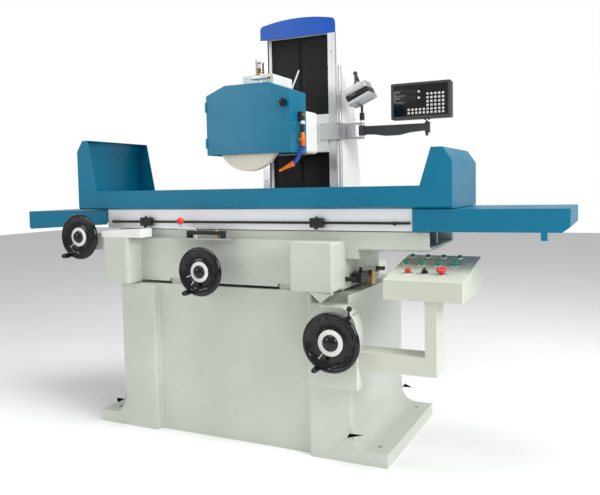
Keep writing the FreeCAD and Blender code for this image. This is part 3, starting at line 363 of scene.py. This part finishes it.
def dress_cad_nodes():
    """Give each CAD node its finish, rounded edges and smooth shading; no vertex is moved."""
    sharp = sharp_edge_group()
    for key, names in NODE_FINISH.items():
        for name in names:
            node = NODES[name]
            node.data.materials.clear()
            node.data.materials.append(FINISH[key])
            weld = node.modifiers.new("weld", "WELD")
            weld.merge_threshold = 1e-5
            flat = node.modifiers.new("flat", "DECIMATE")
            flat.decimate_type = "DISSOLVE"
            flat.angle_limit = math.radians(1.0)
            flat.delimit = {"MATERIAL"}
            edges = node.modifiers.new("edges", "BEVEL")
            edges.width = EDGE_WIDTH.get(name, PLAIN_EDGE) * MM
            edges.segments = 2
            edges.limit_method = "ANGLE"
            edges.angle_limit = SMOOTH_BELOW
            edges.use_clamp_overlap = False
            node.modifiers.new("sharp", "NODES").node_group = sharp
            normals = node.modifiers.new("normals", "WEIGHTED_NORMAL")
            normals.keep_sharp = True
            custom = node.data.attributes.get("custom_normal")
            if custom:
                node.data.attributes.remove(custom)


# ---- mesh helpers -----------------------------------------------------------------------------
def hexagon(angle):
    """Radius of a unit hexagon at an angle, as a share of its corner radius."""
    turn = (angle + math.pi / 6) % (math.pi / 3) - math.pi / 6
    return math.cos(math.pi / 6) / math.cos(turn)


def turned(profile, turns=64):
    """A profile turned about +Z: (radius, z), or (radius, z, shape) with a factor by angle."""
    verts, rings, faces = [], [], []
    for radius, z, *shape in profile:
        if radius < 1e-9:
            rings.append([len(verts)])
            verts.append((0, 0, z))
            continue
        rings.append(list(range(len(verts), len(verts) + turns)))
        for step in range(turns):
            angle = 2 * math.pi * step / turns
            reach = radius * (shape[0](angle) if shape else 1.0)
            verts.append((reach * math.cos(angle), reach * math.sin(angle), z))
    for low, high in zip(rings, rings[1:]):
        for step in range(turns):
            after = (step + 1) % turns
            if len(low) == 1:
                faces.append((low[0], high[after], high[step]))
            elif len(high) == 1:
                faces.append((low[step], low[after], high[0]))
            else:
                faces.append((low[step], low[after], high[after], high[step]))
    return verts, faces


def block(low, high, bevel=0.001, segments=2):
    """A block between two corners with rounded edges."""
    mesh = bmesh.new()
    bmesh.ops.create_cube(mesh, size=1.0)
    middle = (Vector(low) + Vector(high)) / 2
    size = Vector(high) - Vector(low)
    for vert in mesh.verts:
        vert.co = Vector([a * b for a, b in zip(vert.co, size)]) + middle
    bmesh.ops.bevel(mesh, geom=mesh.edges[:], offset=bevel, segments=segments, affect="EDGES",
                    profile=0.5)
    mesh.verts.index_update()
    shape = [vert.co[:] for vert in mesh.verts], [[v.index for v in f.verts] for f in mesh.faces]
    mesh.free()
    return shape


def at(place, direction=(0, 0, 1)):
    """The matrix that stands +Z along a direction at a place."""
    turn = Vector(direction).to_track_quat("Z", "Y").to_matrix().to_4x4()
    return Matrix.Translation(Vector(place)) @ turn


def assembled(name, parts, body, replaces=(), sharp=35):
    """One piece from (shape, matrix, finish key) parts, riding on a body."""
    keys = list(dict.fromkeys(key for _, _, key in parts))
    verts, faces, slots = [], [], []
    for (points, polygons), matrix, key in parts:
        start = len(verts)
        verts += [(matrix @ Vector(point))[:] for point in points]
        faces += [[start + index for index in polygon] for polygon in polygons]
        slots += [keys.index(key)] * len(polygons)
    mesh = bpy.data.meshes.new(name)
    mesh.from_pydata(verts, [], faces)
    for key in keys:
        mesh.materials.append(FINISH[key])
    mesh.polygons.foreach_set("material_index", slots)
    mesh.polygons.foreach_set("use_smooth", [True] * len(faces))
    mesh.set_sharp_from_angle(angle=math.radians(sharp))
    piece = bpy.data.objects.new(name, mesh)
    bpy.context.scene.collection.objects.link(piece)
    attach(piece, body)
    if replaces:
        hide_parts(*replaces)
    return piece


# ---- camera, light and floor ------------------------------------------------------------------
ROOM_LIGHT = 0.50
CAMERA_PLACE = (1.664, -3.041, 1.200)
CAMERA_TURN = (25.89, 3.44, 1.09)       # yaw, pitch and roll in degrees
LENS_LENGTH = 40.44
SENSOR_WIDTH = 36.0
LENS_SHIFT = (0.0075, -0.0337)
FLOOR_HALF = 14.0


def make_camera():
    """A camera at the operator's right front, 1.2 m above the floor."""
    yaw, pitch, roll = (math.radians(angle) for angle in CAMERA_TURN)
    forward = Vector((-math.sin(yaw) * math.cos(pitch), math.cos(yaw) * math.cos(pitch),
                      -math.sin(pitch)))
    level = forward.cross(Vector((0, 0, 1))).normalized()
    down = forward.cross(level)
    right = level * math.cos(roll) + down * math.sin(roll)
    lower = down * math.cos(roll) - level * math.sin(roll)
    turn = Matrix((right, -lower, -forward)).transposed().to_4x4()
    lens = bpy.data.cameras.new("camera")
    lens.sensor_width = SENSOR_WIDTH
    lens.lens = LENS_LENGTH
    lens.shift_x, lens.shift_y = LENS_SHIFT
    camera = bpy.data.objects.new("camera", lens)
    bpy.context.scene.collection.objects.link(camera)
    camera.matrix_world = Matrix.Translation(CAMERA_PLACE) @ turn
    bpy.context.scene.camera = camera


def softbox(name, place, target, size, power):
    """A rectangular area light at a place, facing a target."""
    light = bpy.data.lights.new(name, "AREA")
    light.shape = "RECTANGLE"
    light.size = size[0]
    light.size_y = size[1]
    light.energy = power
    lamp = bpy.data.objects.new(name, light)
    bpy.context.scene.collection.objects.link(lamp)
    aim = (Vector(place) - Vector(target)).to_track_quat("Z", "Y").to_matrix().to_4x4()
    lamp.matrix_world = Matrix.Translation(Vector(place)) @ aim


def make_studio():
    """White room light, three softboxes and a pale floor."""
    world = bpy.data.worlds.new("room")
    bpy.context.scene.world = world
    world.use_nodes = True
    tree = world.node_tree
    background = tree.nodes["Background"]
    background.inputs["Color"].default_value = (1.0, 1.0, 1.0, 1.0)
    seen = tree.nodes.new("ShaderNodeLightPath").outputs["Is Camera Ray"]
    strength = tree.nodes.new("ShaderNodeMapRange")
    strength.inputs["To Min"].default_value = ROOM_LIGHT
    strength.inputs["To Max"].default_value = 1.0
    tree.links.new(seen, strength.inputs["Value"])
    tree.links.new(strength.outputs["Result"], background.inputs["Strength"])
    middle = (0.0, 0.0, 1.0)
    softbox("key_light", (4.2, -1.2, 2.8), middle, (2.2, 2.2), 150.0)
    softbox("fill_light", (-3.0, -4.2, 2.6), middle, (1.6, 2.4), 36.0)
    softbox("top_light", (0.3, -0.6, 4.6), middle, (3.4, 1.8), 110.0)
    bpy.context.scene.view_settings.view_transform = "Standard"
    half = FLOOR_HALF
    mesh = bpy.data.meshes.new("floor")
    mesh.from_pydata([(-half, -half, 0), (half, -half, 0), (half, half, 0), (-half, half, 0)], [],
                     [(0, 1, 2, 3)])
    floor = bpy.data.objects.new("floor", mesh)
    material, tree, shader, place = finish_of("pale_floor", {"Roughness": 0.9,
                                                             "Specular IOR Level": 0.1})
    tint = mixed(tree, noise(tree, place, 1.5), (0.93, 0.93, 0.93, 1), (0.97, 0.97, 0.97, 1))
    tree.links.new(tint, shader.inputs["Base Color"])
    mesh.materials.append(material)
    bpy.context.scene.collection.objects.link(floor)


# ---- handwheels -------------------------------------------------------------------------------
def finger_waves(depth):
    """Twelve shallow finger scallops round a rim."""
    return lambda angle: 1.0 + depth * math.cos(12 * angle)


def wheel_shape(radius, hub):
    """Dished handwheel, back to front along +Z, with scallops on the inside of its rim."""
    points = [(0, -14), (0.6 * hub, -14), (0.6 * hub, -5), (radius - 30, -1), (radius - 20, -7),
              (radius - 11, -10), (radius - 4, -8), (radius - 0.5, -2), (radius, 4),
              (radius - 2, 10), (radius - 6, 14), (radius - 12, 15.4), (radius - 17, 14.2)]
    profile = [(r * MM, z * MM) for r, z in points]
    profile += [((radius - 22) * MM, 10 * MM, finger_waves(0.016)),
                ((radius - 25) * MM, 6.5 * MM, finger_waves(0.024)),
                ((radius - 31) * MM, 3.6 * MM, finger_waves(0.012))]
    front = [(1.75 * hub, 2.6), (1.66 * hub, 4.4), (1.62 * hub, 8.0), (1.1 * hub, 9.6),
             (1.0 * hub, 10.6), (0.97 * hub, 15), (0.86 * hub, 20), (0.62 * hub, 25),
             (0.30 * hub, 27.6), (0, 28)]
    return turned(profile + [(r * MM, z * MM) for r, z in front], 192)


def ring_shape(hub):
    """White ring let into the face round the hub."""
    return turned([(1.02 * hub * MM, 9.4 * MM), (1.02 * hub * MM, 10.9 * MM),
                   (1.56 * hub * MM, 9.2 * MM), (1.60 * hub * MM, 8.0 * MM)], 96)


def dial_parts(radius, front, depth, divisions, body_finish):
    """A graduated collar behind a wheel: plain drum and raised division marks."""
    r = radius * MM
    drum = turned([(0, -(front + depth) * MM), (r, -(front + depth) * MM), (r, -(front + 1) * MM),
                   (r - 0.001, -front * MM), (0, -front * MM)], 96)
    parts = [(drum, Matrix.Identity(4), body_finish)]
    for step in range(divisions):
        long = step % 5 == 0
        length = (12 if long else 7) * MM
        tick = block((r - 0.0004, -0.0004, -(front + 2) * MM - length),
                     (r + 0.0003, 0.0004, -(front + 2) * MM), 0.0001, 1)
        turn = Matrix.Rotation(2 * math.pi * step / divisions, 4, "Z")
        parts.append((tick, turn, "panel"))
    return parts


def handwheel(which, radius, hub, marks, dial=None):
    """Replace a handwheel node: wheel, shaft, hub ring, index marks and any dial."""
    joint = JOINTS[which + "_handwheel_turn"]
    centre = Vector(joint["pos_m"])
    node = "handwheel_" + which
    face = at(centre, TOWARDS_OPERATOR)
    shaft_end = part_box(node)[1].y - centre.y
    shaft = turned([(0, -shaft_end), (0.012, -shaft_end), (0.012, -0.010), (0, -0.010)], 48)
    parts = [(wheel_shape(radius, hub), face, "black_gloss"), (shaft, face, "steel"),
             (ring_shape(hub), face, "white_fill")]
    for degrees in marks:
        length = (radius - 33) - 1.8 * hub
        mark = block((1.72 * hub * MM, -0.0018, 2.6 * MM), ((1.72 * hub + length) * MM, 0.0018,
                                                            4.6 * MM), 0.0004, 1)
        turn = Matrix.Rotation(math.radians(degrees), 4, "Z")
        parts.append((mark, face @ turn, "white_fill"))
    if dial:
        parts += [(shape, face @ matrix, key) for shape, matrix, key in dial_parts(*dial)]
    assembled(node + "_turned", parts, BODY_OF[node], [node], sharp=40)


def crank_grip(which):
    """Replace a grip node with a waisted, end-capped handle."""
    node = "grip_" + which
    joint = JOINTS[which + "_grip_spin"]
    points = [(5.2, 17), (9.2, 17), (10.0, 18), (9.0, 21), (9.6, 25), (12.4, 34), (13.0, 44),
              (12.8, 56), (11.8, 67), (10.4, 74), (8.4, 78.6), (5.0, 80), (0, 80)]
    shape = turned([(r * MM, z * MM) for r, z in points], 48)
    joint_place = Vector(joint["pos_m"])
    assembled(node + "_turned", [(shape, at(joint_place, TOWARDS_OPERATOR), "black_gloss")],
              BODY_OF[node], [node], sharp=50)


def make_handwheels():
    handwheel("vertical", 128, 35, [232], (62, 13, 30, 100, "carriage"))
    handwheel("cross", 115, 30, [232, 200], (42, 13, 30, 50, "steel"))
    handwheel("table", 115, 30, [222])
    for which in ("vertical", "cross", "table"):
        crank_grip(which)


# ---- control desk -----------------------------------------------------------------------------
DESK_TILT = math.atan2(882 - 816, 440 - 62)


def desk_spot(x, y):
    """Where a control stands on the sloping desk, with +Z out of its face."""
    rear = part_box("control_box")[1]
    height = rear.z + (y - rear.y) * math.tan(DESK_TILT)
    return Matrix.Translation((x, y, height)) @ Matrix.Rotation(DESK_TILT, 4, "X")


def spot_of(node):
    """Where a CAD control stands on the desk, from the middle of its box."""
    low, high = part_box(node)
    middle = (low + high) / 2
    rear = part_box("control_box")[1]
    lift = middle.z - (rear.z + (middle.y - rear.y) * math.tan(DESK_TILT))
    return desk_spot(middle.x, middle.y + lift * math.sin(DESK_TILT) * math.cos(DESK_TILT))


def cap_shape():
    """Push-button cap with a shallow dish and a rounded rim, on its stem."""
    points = [(0, -17.5), (7.9, -17.5), (7.9, 10), (12.2, 10), (12.8, 10.8), (12.8, 18.8),
              (12.2, 19.7), (11.2, 20), (10.2, 19.4), (0, 18.8)]
    return turned([(r * MM, z * MM) for r, z in points], 48)


def bezel_shape(radius, height):
    """Plated ring round a control, with a knurl-like scalloped edge."""
    def knurl(angle):
        return 1.0 + 0.012 * math.cos(36 * angle)

    bore = 0.0084
    points = [(bore, 0.0, None), (radius, 0.0, knurl), (radius, height * 0.7, knurl),
              (radius - 0.0015, height, None), (bore + 0.002, height, None), (bore, 0.004, None)]
    return turned([(r, z) if shape is None else (r, z, shape) for r, z, shape in points], 144)


def make_buttons():
    bezels = []
    for number in range(1, 5):
        node = "start_button_%d" % number
        place = spot_of(node)
        assembled(node + "_cap", [(cap_shape(), place, "green")], BODY_OF[node],
                  [node])
        bezels.append(place)
    place = spot_of("stop_button")
    assembled("stop_button_cap", [(cap_shape(), place, "red")], "stop_button",
              ["stop_button"])
    bezels.append(place)
    place = spot_of("emergency_stop")
    points = [(0, -19.5), (7.9, -19.5), (7.9, 14), (15, 14), (21.2, 15.4), (22, 17), (21.8, 21),
              (20.2, 24.6), (16, 27.4), (9, 29.2), (0, 29.9)]
    head = turned([(r * MM, z * MM) for r, z in points], 64)
    arrows = []
    for turn in (0, 120, 240):
        matrix = place @ Matrix.Rotation(math.radians(turn), 4, "Z")
        arrows.append((block((0.011, -0.0012, 0.0266), (0.018, 0.0012, 0.0274), 0.0002, 1),
                       matrix, "white_fill"))
    assembled("emergency_stop_head", [(head, place, "red")] + arrows, "emergency_stop",
              ["emergency_stop"])
    bezels.append(place)
    place = spot_of("selector_switch")
    knob = turned([(0, -0.0155), (0.0079, -0.0155), (0.0079, 0.0045), (0.0136, 0.0045),
                   (0.0139, 0.006), (0.0132, 0.0125), (0, 0.0131)], 64)
    wing = block((-0.0042, -0.0155, 0.0115), (0.0042, 0.0155, 0.0255), 0.0016, 3)
    line = block((-0.0009, 0.004, 0.0250), (0.0009, 0.0145, 0.0258), 0.0002, 1)
    assembled("selector_knob", [(knob, place, "black_gloss"), (wing, place, "black_gloss"),
                                (line, place, "white_fill")], "selector",
              ["selector_switch"])
    bezels.append(place)
    rings = [(bezel_shape(0.0172, 0.0052), place, "chrome") for place in bezels]
    plates = []
    for place in bezels:
        plates.append((block((-0.015, 0.021, 0.0001), (0.015, 0.030, 0.0010), 0.0003, 1), place,
                       "key"))
    assembled("control_bezels", rings + plates, "bed")


def make_pilot_lamps():
    """Domed green lenses in plated rings, in a row at the rear of the desk."""
    low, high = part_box("pilot_lamps")
    y = (low.y + high.y) / 2
    first, last = low.x + 0.015, high.x - 0.015
    parts = []
    for step in range(4):
        place = desk_spot(first + (last - first) * step / 3, y)
        dome = [(10.8 * math.cos(t * math.pi / 16), 11 + 6.5 * math.sin(t * math.pi / 16))
                for t in range(9)]
        lens = turned([(0, -0.0195), (0.0079, -0.0195), (0.0079, 0.003), (0.0108, 0.003)]
                      + [(max(r, 0.0) * MM, z * MM) for r, z in dome], 48)
        parts.append((lens, place, "lens"))
        parts.append((turned([(0.011, 0), (0.0148, 0), (0.0148, 0.004), (0.0135, 0.0062),
                              (0.0112, 0.0062), (0.011, 0.0)], 64), place, "chrome"))
    assembled("pilot_lamp_lenses", parts, "bed", ["pilot_lamps"])


# ---- digital display --------------------------------------------------------------------------
def make_display_face():
    """Dark front panel with windows, round keys and the key grid, and near-black strips on the back, painted shade
    standing for vent slots.
    """
    low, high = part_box("dro_display")
    rim = 0.014
    left, right = low.x + rim, high.x - rim
    bottom, top = high.z - 0.180, high.z - rim
    depth = low.y + 0.0038
    width, height = right - left, top - bottom

    def spread(u, v, w, h, front, bevel, key):
        x, z = left + u * width, top - v * height
        shape = block((x - w / 2, depth - front, z - h / 2), (x + w / 2, depth, z + h / 2), bevel, 2)
        return shape, Matrix.Identity(4), key

    parts = [spread(0.5, 0.5, width - 0.0006, height - 0.0006, 0.0014, 0.0005, "panel")]
    for v in (0.22, 0.43):
        parts.append(spread(0.235, v, width * 0.38, height * 0.15, 0.0021, 0.0005, "window"))
    for v in (0.22, 0.42):
        x, z = left + 0.475 * width, top - v * height
        button = turned([(0, 0), (0.0062, 0), (0.0062, 0.0030), (0.0054, 0.0036), (0, 0.0036)], 32)
        parts.append((button, at((x, depth, z), TOWARDS_OPERATOR), "key"))
    pitch, key_size = 0.070, 0.0115
    for row, v in enumerate((0.31, 0.43, 0.55, 0.67, 0.79, 0.90)):
        for column in range(10):
            if row < 4 and column < 5:
                continue
            parts.append(spread(0.285 + pitch * column, v, key_size, key_size, 0.0036, 0.0010, "key"))
    assembled("display_panel_and_keys", parts, "display")
    # Painted shade: near-black strips stand for the shade inside the vent slots on the back of the case.
    vent_shade_strips = []
    for row in range(6):
        z = (low.z + high.z) / 2 + (row - 2.5) * 0.014
        vent_shade_strips.append((block((low.x + 0.06, high.y - 0.0012, z - 0.0022),
                            (high.x - 0.06, high.y + 0.0004, z + 0.0022), 0.0003, 1),
                      Matrix.Identity(4), "panel"))
    assembled("display_rear_vent_shade", vent_shade_strips, "display")


# ---- work lamp --------------------------------------------------------------------------------
def make_work_lamp():
    """Rectangular lamp: ribbed alloy cover, black band with its window, flange and glass."""
    place = Matrix.Translation(JOINTS["lamp_tilt"]["pos_m"]) @ Matrix.Rotation(math.radians(-24), 4,
                                                                                "Y")
    shapes = [(block((-0.065, -0.057, -0.052), (0.065, 0.057, -0.0105), 0.006, 4), "alloy"),
              (block((-0.066, -0.058, -0.084), (0.066, 0.058, -0.050), 0.002, 2), "black_steel"),
              (block((-0.068, -0.060, -0.1075), (0.068, 0.060, -0.083), 0.003, 3), "alloy"),
              (block((-0.052, -0.0615, -0.0795), (0.052, -0.0575, -0.0545), 0.0008, 2), "window"),
              (block((-0.060, -0.052, -0.1080), (0.060, 0.052, -0.1070), 0.0004, 1), "glass"),
              (turned([(0.013, -0.012), (0.016, -0.0105), (0.0155, -0.006), (0.0130, -0.003)], 32),
               "black_steel")]
    parts = [(shape, place, key) for shape, key in shapes]
    for step in range(9):
        x = -0.044 + 0.011 * step
        parts.append((block((x - 0.0018, -0.040, -0.0108), (x + 0.0018, 0.040, -0.0088), 0.0008, 2),
                      place, "alloy"))
    assembled("work_lamp_shade", parts, "lamp", ["lamp_head"])


# ---- oiler and coolant line -------------------------------------------------------------------
def make_oiler():
    """Drip oiler: alloy cross fitting, brass seat, glass with oil in it, and a white cap."""
    low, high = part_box("sight_oiler")
    x, y = (low.x + high.x - 0.012) / 2, (low.y + high.y) / 2
    base = low.z

    def ring(points, turns=64):
        return turned([(r * MM, z * MM + base) for r, z in points], turns)

    stem = ring([(0, 0), (11.8, 0), (11.8, 40), (0, 40)])
    seat = ring([(0, 62), (24, 62), (25, 63), (25, 66), (23, 67.6), (0, 67.6)])
    cross = block((-0.046, -0.022, base + 0.040), (0.046, 0.022, base + 0.062), 0.003, 3)
    outlet = turned([(0, 0), (0.008, 0), (0.008, 0.010), (0.0075, 0.0115, hexagon), (0, 0.0115)], 48)
    glass = ring([(18, 68), (22, 68), (22, 122), (18, 122), (18, 68)])
    oil = ring([(0, 68.4), (17.6, 68.4), (17.6, 95), (16.4, 96), (0, 95.6)])
    cap = ring([(0, 122.4), (23.4, 122.4), (24, 124), (24, 138), (22.5, 141), (9, 142.5),
                (8, 144), (7.6, 152), (6, 153.6), (0, 153.6)])
    spine = ring([(0, 95.7), (3.6, 95.7), (3.6, 122.2), (0, 122.2)], 24)
    shift = Matrix.Translation((x, y, 0))
    parts = [(stem, shift, "steel"), (cross, shift, "alloy"), (seat, shift, "brass"),
             (glass, shift, "glass"), (oil, shift, "oil"), (cap, shift, "white_fill"),
             (spine, shift, "steel"),
             (outlet, at((x + 0.046, y, base + 0.051), (1, 0, 0)), "brass")]
    assembled("sight_oiler_fittings", parts, BODY_OF["sight_oiler"],
              ["sight_oiler"])


LINE = [Vector(p) * MM for p in ((258, -45, 1395), (254, -60, 1367), (244, -76, 1340),
                                 (230, -88, 1315))]


def make_coolant_line():
    """Shut-off valve, nut, dark drop pipe, orange joint and blue ball-jointed segments."""
    node = "coolant_hose"
    x, y, z = LINE[0]
    clamp = block((0.241, y - 0.018, 1.521), (0.262, y + 0.018, 1.565), 0.003, 3)
    stub = turned([(0, 0), (0.009, 0), (0.009, 0.010, hexagon), (0, 0.012)], 48)
    nut = turned([(0, 0), (0.0126, 0, hexagon), (0.013, 0.002, hexagon), (0.013, 0.013, hexagon),
                  (0.011, 0.016), (0, 0.016)], 48)
    pipe = turned([(0, 0), (0.0086, 0), (0.0086, 0.040), (0, 0.040)], 40)
    valve = turned([(0, 0), (0.010, 0), (0.0118, 0.006), (0.0118, 0.014), (0.0138, 0.018),
                    (0.0138, 0.044), (0.012, 0.050), (0.012, 0.062), (0.010, 0.066), (0, 0.066)], 48)
    tap = turned([(0, 0), (0.004, 0), (0.004, 0.010), (0.009, 0.011), (0.009, 0.016), (0, 0.017)], 32)
    parts = [(clamp, Matrix.Identity(4), "black_steel"), (stub, at((0.262, y, 1.548), (1, 0, 0)), "brass"),
             (nut, at((x, y, z + 0.109)), "white_fill"), (pipe, at((x, y, z + 0.069)), "black_steel"),
             (valve, at((x, y, z + 0.003)), "orange"),
             (tap, at((x, y - 0.011, z + 0.034), TOWARDS_OPERATOR), "orange")]
    cup = turned([(0.0045, -0.0085), (0.0075, -0.0085), (0.0092, -0.005), (0.0108, 0.000),
                  (0.0112, 0.0045), (0.0104, 0.0068), (0.0082, 0.0075), (0.006, 0.0095),
                  (0.0045, 0.0095)], 40)
    for start, end in zip(LINE, LINE[1:]):
        run = end - start
        for share in (0.0, 0.5):
            parts.append((cup, at(start + run * share, run), "blue_plastic"))
    last = LINE[-1] - LINE[-2]
    parts.append((turned([(0, -0.0085), (0.0075, -0.0085), (0.0105, -0.003), (0.0108, 0.002),
                          (0.0090, 0.0060), (0.0055, 0.0095), (0, 0.0108)], 40),
                  at(LINE[-1], last), "blue_plastic"))
    assembled("coolant_line_segments", parts, BODY_OF[node], [node], sharp=45)
    run = Vector((0.160, -0.112, 1.278)) - LINE[-1]
    length = run.length
    outlet = turned([(0.0118, 0.002), (0.0138, 0.004), (0.0140, 0.013), (0.0122, 0.015),
                     (0.0120, 0.019), (0.0092, length * 0.55), (0.0062, length * 0.86),
                     (0.0058, length), (0.0040, length), (0.0040, length * 0.80),
                     (0.0070, 0.020), (0.0112, 0.012), (0.0118, 0.002)], 48)
    assembled("coolant_nozzle_outlet", [(outlet, at(LINE[-1], run), "orange")], "coolant_nozzle",
              ["coolant_nozzle"])


dress_cad_nodes()
paint_details()
make_camera()
make_studio()
make_handwheels()
make_buttons()
make_pilot_lamps()
make_display_face()
make_work_lamp()
make_oiler()
make_coolant_line()
